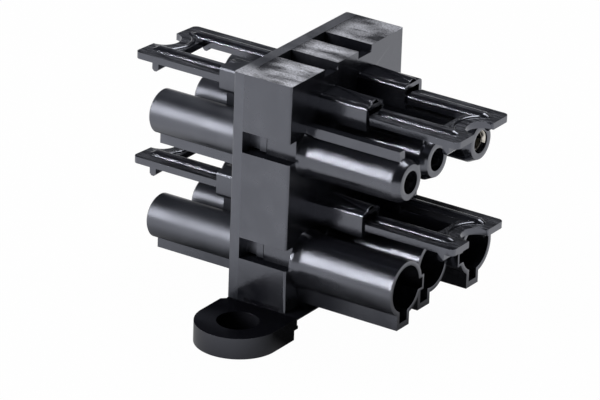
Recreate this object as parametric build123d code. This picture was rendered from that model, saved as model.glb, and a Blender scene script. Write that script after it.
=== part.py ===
from build123d import *
import os

# A three-pole installation splitter: a tall block joins one input port of open shrouds
# with three output ports of closed barrels, and stands on two screw-down feet.
# X runs along the plugs, Y across the three poles, Z up. The origin lies on the
# underside, midway between the two screw holes.

os.makedirs("parts", exist_ok=True)

# Pole grid
pole_pitch = 10.0
row_pitch = 17.7
pole_sides = (-1, 0, 1)
middle_recess = 1.6

# Block
block_width = 10.6
block_offset = -1.05
edge_margin = 5.63
lower_axis_rise = 7.35
upper_axis_drop = 12.65
cover_thickness = 1.9
block_edge_radius = 0.35

# Wells between the three columns on top
well_offset = 4.7
well_width = 3.75
well_depth = 6.0
lip_thickness = 1.4
lip_drop = 1.2

# Base slab under the block, wide at its top and undercut below
slab_depth = 1.4
slab_undercut = 1.4
slab_ledge = 2.7

# Feet
foot_thickness = 3.45
foot_radius = 6.8
foot_hole_radius = 3.34
foot_reach = 6.4
foot_gap = 0.1
foot_corner = 1.1
foot_setback_depth = 0.7
foot_setback_height = 1.6
foot_tooth_reach = 0.3
foot_tooth_height = 0.5
tenon_length = 9.0
tenon_rise = 0.6
tenon_drop = 1.0
tenon_half_width = 2.2
tenon_flare = 1.0
tenon_clearance = 0.1

# Output barrels
barrel_radius = 3.55
nose_radius = 2.85
nose_length = 1.4
plain_chamfer = 0.3
bore_radius = 1.85
collar_rise = 0.35
collar_slope = 2.0
barrel_key_width = 1.5
barrel_key_height = 4.95
barrel_key_setback = 0.8
side_key_height = 1.1
side_key_reach = 4.7
side_key_drop = 0.5

# Input shrouds
shroud_clearance = 0.17
shroud_wall = 0.73
shroud_floor = 0.8
keyway_clearance = 0.3
keyway_wall = 0.65
keyway_floor = 1.0
keyway_play = 0.4
side_keyway_wall = 0.4

# Reach of the ports from the block's faces
input_reach = 18.4
nosed_reach = 18.4
plain_reach = 17.15

# Places of the coding keys across each pole
shroud_key_shift = (-0.45, -2.1, -0.6)
top_key_shift = (-0.45, -1.3, -0.6)

# Latch frames and the sleeves that hold them
latch_rise = 6.1
latch_thickness = 1.1
latch_half_width = 7.35
arm_width = 4.1
root_half_width = 6.95
arm_root_width = 3.4
arm_step_length = 0.9
root_depth = 0.8
root_grip = 2.4
right_tip_reach = 24.9
left_near_tip_reach = 24.25
left_far_tip_reach = 22.9
right_window_reach = 19.3
left_window_reach = 18.3
latch_corner = 0.9
notch_radius = 2.8
notch_beyond_window = 5.5
right_hook_inset = 1.6
left_hook_inset = 3.4
hook_length = 1.15
hook_width = 2.8
hook_drop = 1.3
hook_chamfer = 0.35
arm_rib_radius = 1.2
arm_rib_height = 0.65
arm_rib_offset = 4.35
arm_rib_gap = 0.5
arm_rib_tip_gap = 1.6
arm_rib_taper = 1.1
arm_rib_end_radius = 0.65
right_sleeve_reach = 8.6
left_sleeve_reach = 7.9
sleeve_wall = 0.75
sleeve_inner_wall = 0.5
sleeve_top_wall = 0.75
sleeve_floor = 1.25
sleeve_headroom = 1.05
sleeve_clearance = 0.1
sleeve_radius = 0.7
right_sleeve_ridge_rise = 0.7
left_sleeve_ridge_rise = 0.3
sleeve_ridge_radius = 1.3
sleeve_rib_length = 6.9
sleeve_rib_width = 0.8
sleeve_rib_height = 2.2

# Snap windows in the end faces
window_height = 3.5
window_rise = 1.45
window_depth = 1.8
snap_length = 3.3
snap_thickness = 1.0
snap_barb_length = 1.2
snap_barb_rise = 0.45
snap_side_gap = 0.25
snap_end_gap = 0.1

# Contact chambers and what they hold
chamber_half_width = 2.1
chamber_overrun = 3.2
chamber_wall = 1.85
spigot_depth = 1.0
spigot_gap = 0.1
busbar_thickness = 1.2
busbar_width = 3.6
busbar_overrun = 2.4
busbar_setback = 2.4
busbar_corner = 1.0
tang_side = 2.0
tang_gap = 0.05
contact_radius = 1.75
contact_bore_radius = 1.35
contact_length = 10.0
contact_mouth_gaps = (2.6, 2.6, 0.8)
contact_slit = 0.5
contact_slit_length = 7.0
contact_floor = 1.5
pin_radius = 1.35
pin_setback = 8.6
pin_bore_clearance = 0.05
pin_chamfer = 0.7

# Places worked out from the driving sizes
half_depth = pole_pitch + edge_margin
base_z = foot_thickness
lower_z = base_z + lower_axis_rise
upper_z = lower_z + row_pitch
top_z = upper_z + upper_axis_drop
left_face = block_offset - block_width / 2
right_face = block_offset + block_width / 2
seam_x = left_face + cover_thickness
chamber_end = right_face - chamber_wall
busbar_right = chamber_end - busbar_setback
busbar_left = busbar_right - busbar_thickness
shroud_bore_radius = barrel_radius + shroud_clearance
shroud_radius = shroud_bore_radius + shroud_wall
root_outer = root_half_width
root_inner = root_half_width - arm_root_width
sleeve_outer = root_outer + sleeve_clearance + sleeve_wall
sleeve_inner = root_inner - sleeve_clearance - sleeve_inner_wall
cavity_bottom = latch_rise - sleeve_clearance
cavity_top = latch_rise + latch_thickness + sleeve_headroom


def block_between(x0, x1, y0, y1, z0, z1):
    """A box given by its two ends along each axis."""
    centre = Pos((x0 + x1) / 2, (y0 + y1) / 2, (z0 + z1) / 2)
    return centre * Box(abs(x1 - x0), abs(y1 - y0), abs(z1 - z0))


def rod(radius, x0, x1, y=0.0, z=0.0):
    """A cylinder along X."""
    return Pos((x0 + x1) / 2, y, z) * Rot(0, 90, 0) * Cylinder(radius, abs(x1 - x0))


def turned(points):
    """A solid turned about X from a half profile of (x, radius) points."""
    outline = Polyline(*[(x, 0, r) for x, r in points], close=True)
    return revolve(make_face(outline), Axis.X)


def tapered_rod(start, start_radius, end, end_radius):
    """A cone between two points."""
    axis = Vector(*end) - Vector(*start)
    place = Plane(origin=Vector(*start) + axis / 2, z_dir=axis)
    return place.location * Cone(start_radius, end_radius, axis.length)


def at_port(shape, side, row_z):
    """Moves a shape drawn outward from a face to the right (+1) or left (-1) face."""
    if side > 0:
        return Pos(right_face, 0, row_z) * shape
    return Pos(left_face, 0, row_z) * mirror(shape, about=Plane.YZ)


def pole_y(pole):
    return pole_sides[pole] * pole_pitch


def pole_reach(reach, pole):
    return reach - (middle_recess if pole_sides[pole] == 0 else 0)


def side_key_direction(pole):
    """The outer poles carry a side key that faces the middle pole."""
    return -pole_sides[pole]


def root_collar(radius):
    return turned([
        (-root_depth, 0),
        (-root_depth, radius + collar_rise),
        (0, radius + collar_rise),
        (collar_slope, radius),
        (collar_slope, 0),
    ])


def output_barrel(pole, reach, nosed, key_up, key_shift):
    """A barrel with its coding keys, without its bore. A nosed one stands on a root collar."""
    end = pole_reach(reach, pole)
    if nosed:
        body_end = end - nose_length
        profile = [
            (-root_depth, 0),
            (-root_depth, barrel_radius),
            (body_end, barrel_radius),
            (end, nose_radius),
            (end, 0),
        ]
    else:
        body_end = end - barrel_key_setback
        profile = [
            (-root_depth, 0),
            (-root_depth, barrel_radius),
            (end - plain_chamfer, barrel_radius),
            (end, barrel_radius - plain_chamfer),
            (end, 0),
        ]
    barrel = turned(profile)
    if nosed:
        barrel += root_collar(barrel_radius)
    side = 1 if key_up else -1
    barrel += block_between(
        -root_depth, body_end,
        key_shift - barrel_key_width / 2, key_shift + barrel_key_width / 2,
        0, side * barrel_key_height)
    direction = side_key_direction(pole)
    if direction != 0:
        middle = side * side_key_drop
        barrel += block_between(
            -root_depth, body_end,
            0, direction * side_key_reach,
            middle - side_key_height / 2, middle + side_key_height / 2)
    return Pos(0, pole_y(pole), 0) * barrel


def input_shroud(pole):
    """The outside of a shroud with its two key channels."""
    end = pole_reach(input_reach, pole)
    shift = shroud_key_shift[pole]
    channel = barrel_key_width / 2 + keyway_clearance + keyway_wall
    shroud = rod(shroud_radius, -root_depth, end) + root_collar(shroud_radius)
    shroud += block_between(
        -root_depth, end, shift - channel, shift + channel,
        -(barrel_key_height + keyway_play + keyway_floor), 0)
    direction = side_key_direction(pole)
    if direction != 0:
        half = side_key_height / 2 + keyway_clearance + side_keyway_wall
        shroud += block_between(
            -root_depth, end,
            0, direction * (side_key_reach + side_keyway_wall),
            -side_key_drop - half, -side_key_drop + half)
    return Pos(0, pole_y(pole), 0) * shroud


def shroud_space(pole):
    """What is cut out of a shroud: its bore and its two keyways."""
    end = pole_reach(input_reach, pole)
    shift = shroud_key_shift[pole]
    half = barrel_key_width / 2 + keyway_clearance
    space = rod(shroud_bore_radius, shroud_floor, end)
    space += block_between(
        shroud_floor, end, shift - half, shift + half,
        -(barrel_key_height + keyway_play), 0)
    direction = side_key_direction(pole)
    if direction != 0:
        tall = side_key_height / 2 + keyway_clearance
        space += block_between(
            shroud_floor, end, 0, direction * side_key_reach,
            -side_key_drop - tall, -side_key_drop + tall)
    return Pos(0, pole_y(pole), 0) * space


def sleeve(reach, ridge_rise):
    """The outside of one hollow sleeve at the -Y arm, with the tapered ridge on its top."""
    bottom = cavity_bottom - sleeve_floor
    top = cavity_top + sleeve_top_wall
    case = block_between(-root_depth, reach, -sleeve_outer, -sleeve_inner, bottom, top)
    case = fillet(case.edges().filter_by(Axis.X), sleeve_radius)
    ridge_z = top - sleeve_ridge_radius + ridge_rise
    middle = -(sleeve_outer + sleeve_inner) / 2
    ridge = tapered_rod(
        (-sleeve_ridge_radius, -sleeve_inner - sleeve_radius, top - sleeve_radius), 0,
        (reach + sleeve_ridge_radius, middle, ridge_z), sleeve_ridge_radius)
    ridge &= block_between(-root_depth, reach, -sleeve_outer, 0, cavity_top, top + sleeve_radius)
    return case + ridge


def sleeve_rib():
    """A rib that ties a left sleeve to the barrel under it."""
    bottom = cavity_bottom - sleeve_floor
    return block_between(
        -root_depth, sleeve_rib_length,
        -sleeve_outer + sleeve_radius, -sleeve_outer + sleeve_radius + sleeve_rib_width,
        bottom - sleeve_rib_height, bottom + sleeve_floor / 2)


def sleeve_space(reach):
    """The hollow that the arm's root slides into."""
    return block_between(
        -root_depth, reach,
        -(root_outer + sleeve_clearance), -(root_inner - sleeve_clearance),
        cavity_bottom, cavity_top)


def both_arms(shape):
    return shape + mirror(shape, about=Plane.XZ)


def latch_frame(window_reach, tip_reaches, sleeve_reaches, hook_inset):
    """Two arms joined by a crossbar with a thumb notch, drawn outward from a face.

    Each arm is narrow inside its sleeve and carries a round rib along its window side.
    The pairs of reaches are for the -Y arm and the +Y arm.
    """
    arm_inner = latch_half_width - arm_width
    top = latch_rise + latch_thickness
    near_tip, far_tip = tip_reaches
    near_sleeve, far_sleeve = sleeve_reaches
    plan = make_face(Polyline(
        (-root_depth, -latch_half_width), (near_tip, -latch_half_width),
        (far_tip, latch_half_width), (-root_depth, latch_half_width), close=True))
    plan = fillet(plan.vertices().sort_by(Axis.X)[-2:], latch_corner)
    plan -= make_face(Polyline(
        (-root_depth, -root_inner), (near_sleeve, -root_inner),
        (near_sleeve + arm_step_length, -arm_inner), (window_reach, -arm_inner),
        (window_reach, arm_inner), (far_sleeve + arm_step_length, arm_inner),
        (far_sleeve, root_inner), (-root_depth, root_inner), close=True))
    plan -= Pos(window_reach + notch_beyond_window, 0) * Circle(notch_radius)
    for side_y, sleeve_end in zip((-1, 1), sleeve_reaches):
        root_end = sleeve_end + arm_step_length / 3
        strip_middle = side_y * (root_outer + latch_half_width) / 2
        plan -= Pos((root_end - root_depth) / 2, strip_middle) * Rectangle(
            root_end + root_depth, latch_half_width - root_outer)
    frame = extrude(Pos(0, 0, latch_rise) * plan, latch_thickness)

    for side_y, tip, sleeve_end in zip((-1, 1), tip_reaches, sleeve_reaches):
        rib_start = sleeve_end + arm_rib_gap
        rib_end = tip - arm_rib_tip_gap
        rib = turned([
            (rib_start, 0),
            (rib_start, arm_rib_radius),
            (rib_end - arm_rib_taper, arm_rib_radius),
            (rib_end, arm_rib_end_radius),
            (rib_end, 0),
        ])
        rib = Pos(0, side_y * arm_rib_offset, top + arm_rib_height - arm_rib_radius) * rib
        frame += rib & block_between(
            rib_start, rib_end, side_y * arm_inner, side_y * latch_half_width,
            latch_rise + latch_thickness / 2, cavity_top)
        frame += block_between(
            -root_depth, min(root_grip, sleeve_end), side_y * root_outer, side_y * root_inner,
            latch_rise, cavity_top - sleeve_clearance / 2)
        hook_end = tip - hook_inset
        hook = block_between(
            hook_end - hook_length, hook_end,
            side_y * latch_half_width, side_y * (latch_half_width - hook_width),
            latch_rise - hook_drop, latch_rise + latch_thickness / 2)
        frame += chamfer(hook.edges().filter_by(Axis.Y).group_by(Axis.Z)[0], hook_chamfer)
    return frame


def snap_window(side_y, row_z, x0, x1, depth0, depth1, gap=0.0):
    """A box let into an end face, from one depth below the face to another."""
    outer = side_y * (half_depth - depth0)
    inner = side_y * (half_depth - depth1)
    middle = row_z + window_rise
    half = window_height / 2 - gap
    return block_between(x0, x1, outer, inner, middle - half, middle + half)


def chamber(pole, x0, x1, gap=0.0):
    """The space for one busbar."""
    half = chamber_half_width - gap
    return block_between(
        x0, x1, pole_y(pole) - half, pole_y(pole) + half,
        lower_z - chamber_overrun + gap, upper_z + chamber_overrun - gap)


def dovetail(x_gap, y0, y1, z0, z1):
    """The foot's tenon, wider at its top, running along Y."""
    low = tenon_half_width + x_gap
    high = low + tenon_flare
    section = Polyline((-low, 0, z0), (low, 0, z0), (high, 0, z1), (-high, 0, z1), close=True)
    return extrude(Pos(0, y0, 0) * make_face(section), abs(y1 - y0), dir=(0, 1, 0))


# Housing body: columns, chambers, the nosed outputs and the shrouded input
body = block_between(seam_x, right_face, -half_depth, half_depth, base_z, top_z)
body = fillet(body.edges().filter_by(Axis.Z).group_by(Axis.X)[-1], block_edge_radius)

ledge_x = right_face + slab_ledge
slab_outline = Polyline(
    (seam_x, 0, base_z), (ledge_x, 0, base_z), (ledge_x - slab_undercut, 0, base_z - slab_depth),
    (seam_x, 0, base_z - slab_depth), close=True)
slab = extrude(Pos(0, -half_depth, 0) * make_face(slab_outline), 2 * half_depth, dir=(0, 1, 0))
body += slab

for pole in range(3):
    body += Pos(right_face, 0, upper_z) * output_barrel(
        pole, nosed_reach, True, True, top_key_shift[pole])
    body += Pos(right_face, 0, lower_z) * input_shroud(pole)
for row_z in (lower_z, upper_z):
    body += at_port(both_arms(sleeve(right_sleeve_reach, right_sleeve_ridge_rise)), 1, row_z)

for pole in range(3):
    body -= Pos(right_face, 0, lower_z) * shroud_space(pole)
    body -= chamber(pole, seam_x, chamber_end)
    body -= rod(
        pin_radius + pin_bore_clearance, chamber_end, right_face + shroud_floor,
        pole_y(pole), lower_z)
    nose_x = right_face + pole_reach(nosed_reach, pole)
    body -= rod(bore_radius, chamber_end, nose_x, pole_y(pole), upper_z)
for row_z in (lower_z, upper_z):
    body -= at_port(both_arms(sleeve_space(right_sleeve_reach)), 1, row_z)
for side_y in (-1, 1):
    body -= block_between(
        seam_x, right_face - lip_thickness,
        side_y * well_offset - well_width / 2, side_y * well_offset + well_width / 2,
        top_z - well_depth, top_z)
    body -= block_between(
        right_face - lip_thickness, right_face,
        side_y * well_offset - well_width / 2, side_y * well_offset + well_width / 2,
        top_z - lip_drop, top_z)
    for row_z in (lower_z, upper_z):
        body -= snap_window(side_y, row_z, seam_x, right_face, 0, window_depth)
        body -= snap_window(
            side_y, row_z, seam_x, seam_x + snap_length + snap_end_gap,
            window_depth, window_depth + snap_thickness + snap_end_gap)
    body -= dovetail(
        tenon_clearance,
        side_y * half_depth - (tenon_length + foot_gap if side_y > 0 else 0),
        side_y * half_depth + (tenon_length + foot_gap if side_y < 0 else 0),
        base_z - slab_depth - tenon_drop, base_z + tenon_rise + tenon_clearance)

# Housing cover: the plate on the other side, with the two plain outputs
cover = block_between(left_face, seam_x, -half_depth, half_depth, base_z, top_z)
cover = fillet(cover.edges().filter_by(Axis.Z).group_by(Axis.X)[0], block_edge_radius)
for pole in range(3):
    cover += chamber(pole, seam_x, seam_x + spigot_depth, spigot_gap)
    for row_z in (lower_z, upper_z):
        barrel = output_barrel(pole, plain_reach, False, False, shroud_key_shift[pole])
        cover += at_port(barrel, -1, row_z)
for row_z in (lower_z, upper_z):
    cover += at_port(sleeve(left_sleeve_reach, left_sleeve_ridge_rise), -1, row_z)
    cover += at_port(sleeve_rib(), -1, row_z)
    cover -= at_port(sleeve_space(left_sleeve_reach), -1, row_z)
    cover -= at_port(mirror(sleeve_space(0), about=Plane.XZ), -1, row_z)
    for side_y in (-1, 1):
        cover += snap_window(
            side_y, row_z, seam_x, seam_x + snap_length,
            window_depth + snap_barb_rise, window_depth + snap_thickness, snap_side_gap)
        cover += snap_window(
            side_y, row_z, seam_x + snap_length - snap_barb_length, seam_x + snap_length,
            window_depth, window_depth + snap_thickness, snap_side_gap)
    for pole in range(3):
        end_x = left_face - pole_reach(plain_reach, pole)
        cover -= rod(bore_radius, end_x, seam_x + spigot_depth, pole_y(pole), row_z)

# Latch frames
latches = {}
for row_name, row_z in (("lower", lower_z), ("upper", upper_z)):
    latches["latch_" + row_name + "_right"] = at_port(latch_frame(
        right_window_reach, (right_tip_reach, right_tip_reach),
        (right_sleeve_reach, right_sleeve_reach), right_hook_inset), 1, row_z)
    latches["latch_" + row_name + "_left"] = at_port(latch_frame(
        left_window_reach, (left_near_tip_reach, left_far_tip_reach),
        (left_sleeve_reach, 0), left_hook_inset), -1, row_z)


def mounting_foot():
    """The foot in front of the block, with its tenon in the block's base."""
    face_y = -half_depth - foot_gap
    hole_y = -half_depth - foot_reach
    lug = Pos(0, hole_y, foot_thickness / 2) * Cylinder(foot_radius, foot_thickness)
    lug += block_between(-foot_radius, foot_radius, hole_y, face_y, 0, foot_thickness)
    corner = lug.edges().filter_by(Axis.Z).group_by(Axis.Y)[-1].sort_by(Axis.X)[0]
    lug = chamfer(corner, foot_corner)
    lug -= block_between(
        -foot_radius, foot_radius, face_y - foot_setback_depth, face_y, 0, foot_setback_height)
    lug += block_between(
        foot_radius - foot_setback_depth, foot_radius, face_y - foot_setback_depth,
        face_y + foot_tooth_reach, foot_setback_height, foot_setback_height + foot_tooth_height)
    tenon = dovetail(
        0, face_y - foot_radius / 2, -half_depth + tenon_length,
        base_z - slab_depth - tenon_drop, base_z + tenon_rise)
    tenon -= block_between(
        -foot_radius, foot_radius, face_y - foot_radius, -half_depth,
        foot_thickness, foot_thickness + 2 * tenon_rise)
    lug += tenon
    return lug - Pos(0, hole_y, foot_thickness / 2) * Cylinder(foot_hole_radius, foot_thickness)


foot = mounting_foot()

# Current path: one busbar a pole, with sockets and an input pin pressed into it
middle_x = (busbar_left + busbar_right) / 2


def tang(x0, x1):
    """The square bar that is pressed into the busbar."""
    half = tang_side / 2
    return block_between(x0, x1, -half, half, -half, half)


def busbar(pole):
    bar = block_between(
        busbar_left, busbar_right, pole_y(pole) - busbar_width / 2, pole_y(pole) + busbar_width / 2,
        lower_z - busbar_overrun, upper_z + busbar_overrun)
    bar = chamfer(bar.edges().filter_by(Axis.X), busbar_corner)
    for row_z in (lower_z, upper_z):
        bar -= Pos(0, pole_y(pole), row_z) * tang(busbar_left, busbar_right)
    return bar


def socket(mouth_x, direction):
    """A slit tube contact on the X axis, with a long tang back to the busbar."""
    floor_x = mouth_x - direction * contact_length
    back_x = floor_x - direction * contact_floor
    contact = turned([
        (back_x, 0),
        (back_x, contact_radius),
        (mouth_x, contact_radius),
        (mouth_x, contact_bore_radius),
        (floor_x, contact_bore_radius),
        (floor_x, 0),
    ])
    contact += tang(middle_x + direction * tang_gap, back_x)
    slit_end = mouth_x - direction * contact_slit_length
    contact -= block_between(
        mouth_x, slit_end, -contact_radius, contact_radius, -contact_slit / 2, contact_slit / 2)
    return contact


def input_pin(pole):
    """A solid pin on the X axis, from the busbar through the chamber's wall."""
    tip_x = right_face + pole_reach(input_reach, pole) - pin_setback
    pin = turned([
        (busbar_right, 0),
        (busbar_right, pin_radius),
        (tip_x - pin_chamfer, pin_radius),
        (tip_x, pin_radius - pin_chamfer),
        (tip_x, 0),
    ])
    return pin + tang(middle_x + tang_gap, busbar_right)


nodes = {
    "housing_body": body,
    "housing_cover": cover,
    "foot_front": foot,
    "foot_rear": Rot(0, 0, 180) * foot,
}
nodes.update(latches)
for pole in range(3):
    number = str(pole + 1)
    right_mouth = right_face + pole_reach(nosed_reach, pole) - contact_mouth_gaps[pole]
    left_mouth = left_face - pole_reach(plain_reach, pole) + contact_mouth_gaps[pole]
    nodes["busbar_" + number] = busbar(pole)
    nodes["socket_upper_right_" + number] = Pos(0, pole_y(pole), upper_z) * socket(right_mouth, 1)
    nodes["socket_upper_left_" + number] = Pos(0, pole_y(pole), upper_z) * socket(left_mouth, -1)
    nodes["socket_lower_left_" + number] = Pos(0, pole_y(pole), lower_z) * socket(left_mouth, -1)
    nodes["pin_lower_right_" + number] = Pos(0, pole_y(pole), lower_z) * input_pin(pole)

for name, shape in nodes.items():
    export_step(shape, "parts/" + name + ".step")
    print(name, len(shape.solids()), round(shape.volume, 1))
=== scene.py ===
import math

import bmesh
import bpy
from mathutils import Matrix, Vector


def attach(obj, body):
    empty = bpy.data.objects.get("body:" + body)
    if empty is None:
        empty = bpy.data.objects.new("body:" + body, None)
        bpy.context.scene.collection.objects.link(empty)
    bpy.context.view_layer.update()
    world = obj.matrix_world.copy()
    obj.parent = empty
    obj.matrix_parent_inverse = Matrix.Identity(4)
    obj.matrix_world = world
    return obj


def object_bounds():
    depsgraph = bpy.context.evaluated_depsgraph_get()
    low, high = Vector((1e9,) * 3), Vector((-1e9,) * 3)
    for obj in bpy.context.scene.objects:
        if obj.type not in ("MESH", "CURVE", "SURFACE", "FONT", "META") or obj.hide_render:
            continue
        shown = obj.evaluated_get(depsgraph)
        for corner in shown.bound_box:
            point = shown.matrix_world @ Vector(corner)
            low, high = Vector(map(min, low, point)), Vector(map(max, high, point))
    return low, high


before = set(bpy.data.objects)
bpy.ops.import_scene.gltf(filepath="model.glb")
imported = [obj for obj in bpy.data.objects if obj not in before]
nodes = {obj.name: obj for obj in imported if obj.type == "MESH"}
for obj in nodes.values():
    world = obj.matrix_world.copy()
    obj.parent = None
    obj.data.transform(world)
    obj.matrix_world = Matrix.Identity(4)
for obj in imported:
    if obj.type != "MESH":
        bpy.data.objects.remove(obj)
cad_low, cad_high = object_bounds()

MM = 0.001


# Node helpers

def link(tree, source, target):
    tree.links.new(source, target)


def new_material(name):
    material = bpy.data.materials.new(name)
    material.use_nodes = True
    tree = material.node_tree
    return material, tree, tree.nodes["Principled BSDF"]


def object_position(tree, scale=(1, 1, 1)):
    """Object coordinates stretched by scale."""
    coordinates = tree.nodes.new("ShaderNodeTexCoord")
    mapping = tree.nodes.new("ShaderNodeMapping")
    mapping.inputs["Scale"].default_value = scale
    link(tree, coordinates.outputs["Object"], mapping.inputs["Vector"])
    return mapping.outputs["Vector"]


def noise(tree, scale, stretch=(1, 1, 1), detail=4.0, roughness=0.5):
    node = tree.nodes.new("ShaderNodeTexNoise")
    node.inputs["Scale"].default_value = scale
    node.inputs["Detail"].default_value = detail
    node.inputs["Roughness"].default_value = roughness
    link(tree, object_position(tree, stretch), node.inputs["Vector"])
    return node.outputs["Fac"]


def mapped(tree, value, low, high, to_low, to_high):
    """The value moved from one range to another, and held within it."""
    node = tree.nodes.new("ShaderNodeMapRange")
    node.inputs["From Min"].default_value = low
    node.inputs["From Max"].default_value = high
    node.inputs["To Min"].default_value = to_low
    node.inputs["To Max"].default_value = to_high
    link(tree, value, node.inputs["Value"])
    return node.outputs["Result"]


def combined(tree, operation, first, *others):
    """The result of one operation over all the values, held within 0 to 1."""
    result = first
    for other in others:
        node = tree.nodes.new("ShaderNodeMath")
        node.operation = operation
        node.use_clamp = True
        for socket, value in zip(node.inputs, (result, other)):
            if isinstance(value, (int, float)):
                socket.default_value = value
            else:
                link(tree, value, socket)
        result = node.outputs["Value"]
    return result


def blended(tree, factor, first, second):
    """A colour between two colours."""
    node = tree.nodes.new("ShaderNodeMix")
    node.data_type = "RGBA"
    factor_socket, first_socket, second_socket = node.inputs[0], node.inputs[6], node.inputs[7]
    link(tree, factor, factor_socket)
    for socket, value in ((first_socket, first), (second_socket, second)):
        if isinstance(value, tuple):
            socket.default_value = value
        else:
            link(tree, value, socket)
    colour_output = node.outputs[2]
    return colour_output


def vector_math(tree, operation, vector, constant=(0, 0, 0)):
    node = tree.nodes.new("ShaderNodeVectorMath")
    node.operation = operation
    link(tree, vector, node.inputs[0])
    node.inputs[1].default_value = constant
    return node.outputs


def separated(tree, vector):
    node = tree.nodes.new("ShaderNodeSeparateXYZ")
    link(tree, vector, node.inputs["Vector"])
    return node.outputs


def bump(tree, shader, height, strength, distance):
    node = tree.nodes.new("ShaderNodeBump")
    node.inputs["Strength"].default_value = strength
    node.inputs["Distance"].default_value = distance
    link(tree, height, node.inputs["Height"])
    link(tree, node.outputs["Normal"], shader.inputs["Normal"])


# Materials

BLACK = (0.013, 0.014, 0.019, 1)
DULL = (0.024, 0.026, 0.033, 1)
DEEP_BLACK = (0.006, 0.006, 0.009, 1)
STAIN = (0.085, 0.088, 0.102, 1)
WORN = (0.13, 0.135, 0.155, 1)
# The light grey below is a painted sheen for the frosted tops, not the plastic's own colour
FROST_SHEEN = (0.78, 0.79, 0.86, 1)
BLUISH = (0.84, 0.87, 1.0, 1)
TIN = (0.75, 0.71, 0.64, 1)
BRASS = (0.80, 0.62, 0.32, 1)

# The frost, a rough finish with a painted light-grey sheen, lies on the column tops, and thins out
# over the cover and the far column
TOP_Z = cad_high.z
SEAM_X, FULL_FROST_SHEEN_X = -4.45 * MM, -2.2 * MM
NEAR_END_Y, NEAR_END_LIMIT_Y = -14.5 * MM, -9.5 * MM
MIDDLE_COLUMN_Y, FAR_COLUMN_Y = 3 * MM, 10 * MM


def rise(tree):
    """1 where the surface faces up, 0 where it is upright."""
    geometry = tree.nodes.new("ShaderNodeNewGeometry")
    return separated(tree, geometry.outputs["Normal"])["Z"]


def frost_sheen_on_top(tree, amount):
    """Where the column tops are frosted and carry a painted light-grey sheen, in streaks and patches
    of fine grain.
    """
    place = separated(tree, object_position(tree))
    at_top = mapped(tree, place["Z"], TOP_Z - 0.4 * MM, TOP_Z - 0.2 * MM, 0, amount)
    on_body = mapped(tree, place["X"], SEAM_X, FULL_FROST_SHEEN_X, 0.12, 1)
    at_near_end = mapped(tree, place["Y"], NEAR_END_Y, NEAR_END_LIMIT_Y, 0.85, 0)
    across = combined(tree, "MAXIMUM", on_body, at_near_end)
    along = mapped(tree, place["Y"], MIDDLE_COLUMN_Y, FAR_COLUMN_Y, 1, 0.7)
    streaks = noise(tree, 420, (0.35, 1.5, 1), detail=5.0, roughness=0.6)
    patches = noise(tree, 170, (0.55, 1.2, 1), detail=2.0)
    grain = noise(tree, 5000, detail=2.0)
    return combined(tree, "MULTIPLY", at_top, across, along,
                    mapped(tree, streaks, 0.36, 0.52, 0.35, 1),
                    mapped(tree, patches, 0.36, 0.54, 0.12, 1),
                    mapped(tree, grain, 0.36, 0.55, 0.3, 1))


def black_plastic(name, colour, ior, roughness, stains, level_roughness=0, wear=0, frost_sheen=0):
    """Black moulding with stains on upright faces, and with dull, worn or frosted level ones; the
    frost is a rough finish with a painted light-grey sheen.
    """
    material, tree, shader = new_material(name)
    shader.inputs["IOR"].default_value = ior
    shader.inputs["Specular Tint"].default_value = BLUISH
    upright = mapped(tree, rise(tree), 0.05, 0.3, 1, 0)
    level = mapped(tree, rise(tree), 0.9, 0.98, 0, 1)
    cloud = noise(tree, 260)
    blotch = noise(tree, 90, (1, 1, 0.6), detail=3.0)
    for pattern in (cloud, blotch):
        spots = combined(tree, "MULTIPLY", upright, mapped(tree, pattern, 0.45, 0.7, 0, stains))
        colour = blended(tree, spots, colour, STAIN)
    gloss = combined(tree, "ADD",
                     mapped(tree, blotch, 0.35, 0.65, roughness * 0.75, roughness * 1.3),
                     mapped(tree, level, 0, 1, 0, level_roughness))
    if wear:
        scuffs = noise(tree, 700, (0.3, 1.8, 1), detail=5.0, roughness=0.65)
        worn = combined(tree, "MULTIPLY", level, mapped(tree, scuffs, 0.38, 0.68, 0, wear))
        colour = blended(tree, worn, colour, WORN)
    # Painted sheen: frosted level faces are blended towards light grey, and their finish is made
    # rougher
    if frost_sheen:
        frosted_sheen = combined(tree, "MULTIPLY", level, frost_sheen_on_top(tree, frost_sheen))
        colour = blended(tree, frosted_sheen, colour, FROST_SHEEN)
        gloss = combined(tree, "ADD", gloss, mapped(tree, frosted_sheen, 0, 1, 0, 0.5))
    link(tree, colour, shader.inputs["Base Color"])
    link(tree, gloss, shader.inputs["Roughness"])
    bump(tree, shader, noise(tree, 2200, detail=2.0), strength=0.045, distance=0.2 * MM)
    return material


def metal(name, colour, roughness):
    """Metal with a fine grain across the object's X axis."""
    material, tree, shader = new_material(name)
    shader.inputs["Metallic"].default_value = 1
    grain = noise(tree, 2500, (1, 0.2, 0.2))
    dark = tuple(channel * 0.75 for channel in colour[:3]) + (1,)
    gloss = mapped(tree, grain, 0.3, 0.7, roughness * 0.8, roughness * 1.2)
    link(tree, blended(tree, grain, dark, colour), shader.inputs["Base Color"])
    link(tree, gloss, shader.inputs["Roughness"])
    return material


body_plastic = black_plastic("body_plastic", BLACK, ior=2.05, roughness=0.18, stains=0.35, frost_sheen=1)
cover_plastic = black_plastic("cover_plastic", DULL, ior=2.1, roughness=0.33, stains=0.35, frost_sheen=0.8)
foot_plastic = black_plastic("foot_plastic", DEEP_BLACK, ior=1.75, roughness=0.17, stains=0.1)
latch_plastic = black_plastic("latch_plastic", BLACK, ior=2.1, roughness=0.16, stains=0.3,
                              level_roughness=0.05, wear=1)
tinned = metal("tinned_contact", TIN, roughness=0.3)
bare_brass = metal("bare_brass", BRASS, roughness=0.35)

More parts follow.
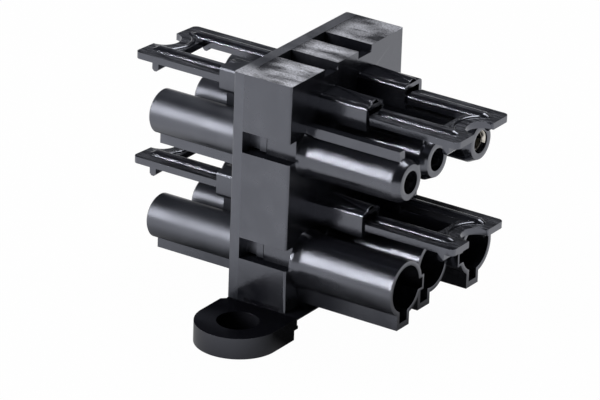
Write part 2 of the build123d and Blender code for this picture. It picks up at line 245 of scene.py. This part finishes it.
for name, obj in nodes.items():
    obj.data.materials.clear()
    if name.startswith("housing"):
        obj.data.materials.append(body_plastic if name == "housing_body" else cover_plastic)
    elif name.startswith("foot"):
        obj.data.materials.append(foot_plastic)
    elif name.startswith("latch"):
        obj.data.materials.append(latch_plastic)
    elif name.startswith("busbar"):
        obj.data.materials.append(bare_brass)
    else:
        obj.data.materials.append(tinned)


# Forms that the solids lack, in millimetres

FACE_X = 4.25
ROWS = {"lower": 10.8, "upper": 28.5}
SLEEVE_LENGTH = 8.6
SLEEVE_TOP = 9.0
SLEEVE_PITCH = 10.75
LATCH_TOP = 7.2
CROSSBARS = (("right", 29.05, 1), ("left", -30.15, -1))
BARREL_MOUTH_X = 22.3
REAR_POLE_Y = 10
added = {}


def lofted(name, rings, material):
    """A closed solid through rings that have the same number of points."""
    count = len(rings[0])
    points = [[c * MM for c in point] for ring in rings for point in ring]
    faces = [list(range(count)), list(range(len(points) - count, len(points)))]
    for i in range(len(rings) - 1):
        for j in range(count):
            k = (j + 1) % count
            faces.append([i * count + j, i * count + k, (i + 1) * count + k, (i + 1) * count + j])
    mesh = bpy.data.meshes.new(name)
    mesh.from_pydata(points, [], faces)
    shape = bmesh.new()
    shape.from_mesh(mesh)
    bmesh.ops.recalc_face_normals(shape, faces=shape.faces)
    shape.to_mesh(mesh)
    shape.free()
    mesh.shade_smooth()
    obj = bpy.data.objects.new(name, mesh)
    bpy.context.scene.collection.objects.link(obj)
    mesh.materials.append(material)
    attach(obj, "root")
    added[name] = obj


def steps(start, end, count):
    """Values from start to end in equal steps."""
    return [start + (end - start) * i / count for i in range(count + 1)]


def circle(count, y, z, radius):
    """Points (y, z) round a circle."""
    return [(y + radius * math.cos(a), z + radius * math.sin(a))
            for a in steps(0, 2 * math.pi, count)[:-1]]


def sleeve_ridge(shift_y, z):
    """A ridge that grows from the block to the sleeve's mouth, steep on its -Y side."""
    rings = []
    for t in steps(0, 1, 12):
        x = FACE_X + SLEEVE_LENGTH * t
        foot = shift_y - 3.5 - 3.05 * t
        height = 0.06 + 0.44 * t
        run = height * 0.6
        width = 0.35 + 1.5 * t
        crest = height * 1.15 + 0.05 * t
        section = ((0, -0.1), (run, height), (run + width * 0.4, crest),
                   (run + width * 0.75, crest * 0.8), (run + width, -0.1))
        rings.append([(x, foot + dy, z + dz) for dy, dz in section])
    return rings


def sleeve_bead(shift_y, z):
    """A thin bead along the sleeve's -Y top edge."""
    section = circle(10, shift_y - 6.95, z - 0.06, radius=0.17)
    return [[(x, *point) for point in section]
            for x in (FACE_X + 0.3, FACE_X + SLEEVE_LENGTH - 0.2)]


def crossbar_rim(centre_x, side, z):
    """A raised round rim beside the thumb notch, on the window's side."""
    section = circle(12, 4.75, z - 0.32, radius=0.6)
    return [[(centre_x - side * reach * math.cos(turn), reach * math.sin(turn), height)
             for reach, height in section]
            for turn in steps(math.radians(-62), math.radians(62), 24)]


def contact_lip(mouth_x, y, z):
    """The flared end of a spring contact, seen in the barrel's mouth."""
    section = ((-0.9, 1.36), (-0.45, 1.4), (-0.15, 1.52), (0.1, 1.76),
               (0.1, 1.82), (-0.2, 1.66), (-0.5, 1.52), (-0.9, 1.48))
    return [[(mouth_x + dx, y + radius * math.cos(turn), z + radius * math.sin(turn))
             for dx, radius in section]
            for turn in steps(math.radians(-25), math.radians(65), 12)]


def foot_shade_sheet(side_y):
    """A thin dark sheet under the block that fills the slit beside the foot: painted shade where the
    slit would be dark.
    """
    section = ((15.85, 3.1), (15.3, 3.1), (15.3, 3.4), (15.85, 3.4))
    return [[(x, side_y * y, z) for y, z in section] for x in (-6.3, 4.2)]


for row, row_z in ROWS.items():
    sleeve_z = row_z + SLEEVE_TOP
    for side, shift_y in (("front", 0), ("rear", SLEEVE_PITCH)):
        lofted(f"sleeve_ridge_{row}_{side}", sleeve_ridge(shift_y, sleeve_z), body_plastic)
        lofted(f"sleeve_bead_{row}_{side}", sleeve_bead(shift_y, sleeve_z), body_plastic)
    for end, centre_x, side in CROSSBARS:
        rim = crossbar_rim(centre_x, side, row_z + LATCH_TOP)
        lofted(f"crossbar_rim_{row}_{end}", rim, latch_plastic)
lip = contact_lip(BARREL_MOUTH_X, REAR_POLE_Y, ROWS["upper"])
lofted("contact_lip", lip, tinned)
# Painted shade: dark sheets fill the slits between the block and the feet
lofted("foot_lip_front", foot_shade_sheet(-1), foot_plastic)
lofted("foot_lip_rear", foot_shade_sheet(1), foot_plastic)


# Rounded edges, with the flat and round faces shaded true up to them

MOULDED_ROUNDING = 0.12 * MM
SMALL_ROUNDING = 0.04 * MM

for name, obj in list(nodes.items()) + list(added.items()):
    moulded = name.startswith(("housing", "foot", "latch"))
    weld = obj.modifiers.new("weld", "WELD")
    weld.merge_threshold = 0.002 * MM
    bevel = obj.modifiers.new("edge_rounding", "BEVEL")
    bevel.width = MOULDED_ROUNDING if moulded else SMALL_ROUNDING
    bevel.segments = 2
    bevel.limit_method = "ANGLE"
    bevel.angle_limit = math.radians(35)
    shading = obj.modifiers.new("shading", "WEIGHTED_NORMAL")
    shading.mode = "FACE_AREA"
    shading.weight = 90


# Floor and surroundings

SHADE_SIZE = (40 * MM, 31 * MM)
HOLE_CENTRE = (0, 22.03 * MM, 0)
HOLE_SHADE = 6.2 * MM
WHITENESS = 0.985
AMBIENT = 0.12


def background_rays(tree):
    """1 for the rays that see the background straight or in a reflection."""
    path = tree.nodes.new("ShaderNodeLightPath")
    return combined(tree, "MAXIMUM", path.outputs["Is Camera Ray"], path.outputs["Is Glossy Ray"],
                    path.outputs["Is Transmission Ray"])


floor_material, tree, shader = new_material("floor")
shader.inputs["Base Color"].default_value = (0.7, 0.7, 0.7, 1)
shader.inputs["Roughness"].default_value = 1
shader.inputs["Specular IOR Level"].default_value = 0
place = tree.nodes.new("ShaderNodeNewGeometry").outputs["Position"]
path = tree.nodes.new("ShaderNodeLightPath")

# Reflections show the floor's own shade under and close to the object
spread = vector_math(tree, "MULTIPLY", place, (1 / SHADE_SIZE[0], 1 / SHADE_SIZE[1], 0))["Vector"]
distance = vector_math(tree, "LENGTH", spread)["Value"]
open_floor = mapped(tree, distance, 0.6, 1.3, 0.02, 1)
lit = combined(tree, "MAXIMUM", open_floor, path.outputs["Is Camera Ray"])

# It is dark under the holes of both feet
mirrored = vector_math(tree, "ABSOLUTE", place)["Vector"]
to_hole = vector_math(tree, "DISTANCE", mirrored, HOLE_CENTRE)["Value"]
beyond_holes = mapped(tree, to_hole, HOLE_SHADE * 0.9, HOLE_SHADE, 0.02, 1)

glow = tree.nodes.new("ShaderNodeEmission")
link(tree, combined(tree, "MULTIPLY", lit, beyond_holes), glow.inputs["Strength"])
mix = tree.nodes.new("ShaderNodeMixShader")
link(tree, combined(tree, "MULTIPLY", background_rays(tree), WHITENESS), mix.inputs[0])
link(tree, shader.outputs[0], mix.inputs[1])
link(tree, glow.outputs[0], mix.inputs[2])
link(tree, mix.outputs[0], tree.nodes["Material Output"].inputs["Surface"])

bpy.ops.mesh.primitive_plane_add(size=1, location=(0.4, 0.75, 0))
floor = bpy.context.object
floor.name = "floor"
floor.scale = (3.0, 2.4, 1)
floor.data.materials.append(floor_material)

# White all round, with a dark ceiling that only reflections show
world = bpy.data.worlds.new("studio")
bpy.context.scene.world = world
world.use_nodes = True
tree = world.node_tree
background = tree.nodes["Background"]
background.inputs["Color"].default_value = (1, 1, 1, 1)
coordinates = tree.nodes.new("ShaderNodeTexCoord")
height = separated(tree, coordinates.outputs["Generated"])["Z"]
room = mapped(tree, height, 0.02, 0.16, 1, 0.02)
path = tree.nodes.new("ShaderNodeLightPath")
seen = combined(tree, "MAXIMUM", room, path.outputs["Is Camera Ray"])
ambient = mapped(tree, background_rays(tree), 0, 1, AMBIENT, 1)
link(tree, combined(tree, "MULTIPLY", seen, ambient), background.inputs["Strength"])


# Lamps, all at one distance from the middle of the block

CENTRE = Vector((0, 0, 0.02))
LAMP_DISTANCE = 0.55


def softbox(name, direction, up, width, height, power, bounces=0):
    """A lamp that lights the object from the given direction.

    Without bounces it lights only what it reaches straight, so dark corners stay dark.
    """
    lamp = bpy.data.lights.new(name, "AREA")
    lamp.shape = "RECTANGLE"
    lamp.size = width
    lamp.size_y = height
    lamp.energy = power
    lamp.cycles.max_bounces = bounces
    lamp.cycles.use_multiple_importance_sampling = bounces > 0
    obj = bpy.data.objects.new(name, lamp)
    bpy.context.scene.collection.objects.link(obj)
    back = Vector(direction).normalized()
    right = Vector(up).cross(back).normalized()
    turn = Matrix((right, back.cross(right), back)).transposed()
    obj.matrix_world = Matrix.Translation(CENTRE + back * LAMP_DISTANCE) @ turn.to_4x4()
    obj.visible_camera = False


softbox("key", (-0.499, -0.789, 0.36), (0, 0.415, 0.91), width=0.22, height=0.315, power=1.35)
softbox("key_rim", (-0.499, -0.534, 0.683), (0, 0.788, 0.616), width=0.24, height=0.13, power=0.16)
softbox("side", (-0.891, -0.333, 0.305), (0, 0, 1), width=0.3, height=0.25, power=0.7)
softbox("overhead", (0, 0.4, 0.92), (0, 1, 0), width=0.3, height=0.3, power=1.7, bounces=4)


# Camera

camera_data = bpy.data.cameras.new("camera")
camera_data.lens = 360
camera_data.sensor_width = 36
camera_data.clip_end = 10
camera = bpy.data.objects.new("camera", camera_data)
bpy.context.scene.collection.objects.link(camera)
camera.location = (0.463063, -0.720186, 0.388037)
camera.rotation_euler = (1.160618, -0.032681, 0.589233)
bpy.context.scene.camera = camera
bpy.context.scene.view_settings.view_transform = "Standard"
